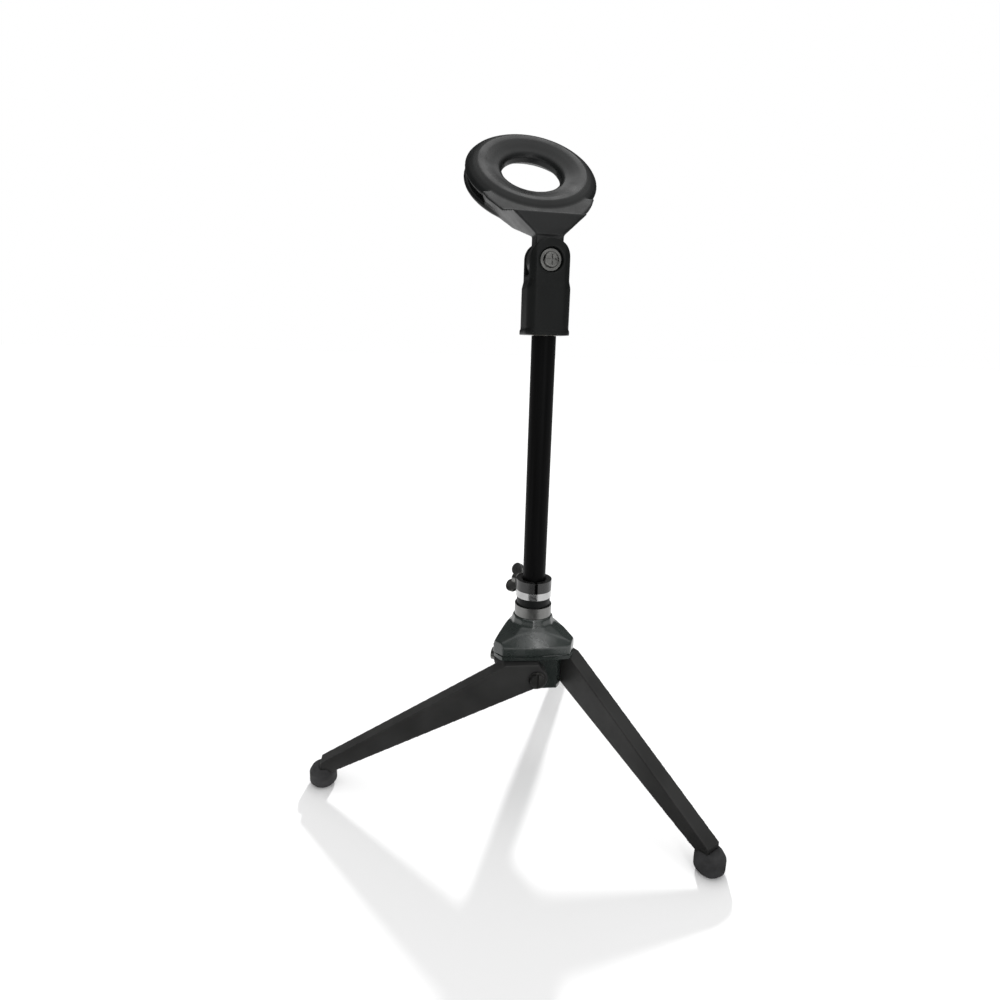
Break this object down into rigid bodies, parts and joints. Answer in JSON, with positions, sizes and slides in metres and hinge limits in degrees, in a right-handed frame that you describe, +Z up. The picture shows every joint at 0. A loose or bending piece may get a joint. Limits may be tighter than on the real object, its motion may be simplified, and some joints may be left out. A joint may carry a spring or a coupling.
{
  "type": "desktop microphone stand",
  "caption": "Short folding tripod stand with a telescopic rod, locking collar and a tilting slip-in microphone clip.",
  "frame": {"origin": "middle of the footprint's bounding box, on the surface that the feet stand on", "axes": "+Z up along the rod, -Y the clip's front, where the screw head is, +X to the right seen from the front"},
  "size_m": [0.175, 0.1946, 0.3154],
  "materials": {
    "hub_plastic": "semi-gloss moulded",
    "steel": "bright zinc plated",
    "dull_metal": "dull plated",
    "black_plastic": "satin moulded",
    "chrome": "polished",
    "collar_metal": "satin black",
    "nylon": "natural nylon",
    "brass": "plain",
    "rod_paint": "satin black paint",
    "clip_plastic": "satin moulded, slightly flexible",
    "leg_plastic": "fine moulded texture",
    "foot_rubber": "matt rubber"
  },
  "bodies": {
    "hub_body": {"hub_block": "hub_plastic", "hub_bell": "hub_plastic", "neck_tube": "rod_paint", "flange_ring": "dull_metal", "spacer_ring": "black_plastic", "chrome_ring": "chrome", "clamp_collar": "collar_metal", "guide_bush": "nylon", "leg_screws": "steel", "leg_washers": "steel", "leg_inserts": "brass"},
    "rod_body": {"rod_tube": "rod_paint", "rod_stud": "steel", "rod_end_plug": "black_plastic"},
    "yoke_body": {"yoke": "black_plastic", "thread_adapter": "brass", "pivot_screw": "steel", "pivot_nut": "steel", "pivot_washers": "steel"},
    "clip_body": {"clip_ring": "clip_plastic", "pivot_bush": "steel"},
    "thumb_screw_body": {"thumb_screw": "dull_metal"},
    "leg_1_body": {"leg_1": "leg_plastic", "foot_1": "foot_rubber"},
    "leg_2_body": {"leg_2": "leg_plastic", "foot_2": "foot_rubber"},
    "leg_3_body": {"leg_3": "leg_plastic", "foot_3": "foot_rubber"}
  },
  "joints": [
    {"name": "leg_1_fold", "type": "hinge", "parent": "hub_body", "child": "leg_1_body", "pos_m": [0.01201, 0.00563, 0.0543], "axis": [-0.8192, 0.5736, 0], "range_deg": [0, 63]},
    {"name": "leg_2_fold", "type": "hinge", "parent": "hub_body", "child": "leg_2_body", "pos_m": [0.02262, -0.01714, 0.0543], "axis": [-0.0872, -0.9962, 0], "range_deg": [0, 63]},
    {"name": "leg_3_fold", "type": "hinge", "parent": "hub_body", "child": "leg_3_body", "pos_m": [0.03703, 0.00344, 0.0543], "axis": [0.9063, 0.4226, 0], "range_deg": [0, 63]},
    {"name": "rod_slide", "type": "slide", "parent": "hub_body", "child": "rod_body", "axis": [0, 0, 1], "range_m": [-0.055, 0]},
    {"name": "yoke_turn", "type": "hinge", "parent": "rod_body", "child": "yoke_body", "pos_m": [0.02389, -0.00269, 0.224], "axis": [0, 0, 1], "continuous": true},
    {"name": "clip_tilt", "type": "hinge", "parent": "yoke_body", "child": "clip_body", "pos_m": [0.02389, -0.00269, 0.2486], "axis": [0, 1, 0], "range_deg": [-75, 75]},
    {"name": "thumb_screw_turn", "type": "hinge", "parent": "hub_body", "child": "thumb_screw_body", "pos_m": [0.017, 0.00714, 0.0966], "axis": [-0.5736, 0.8192, 0], "continuous": true}
  ]
}
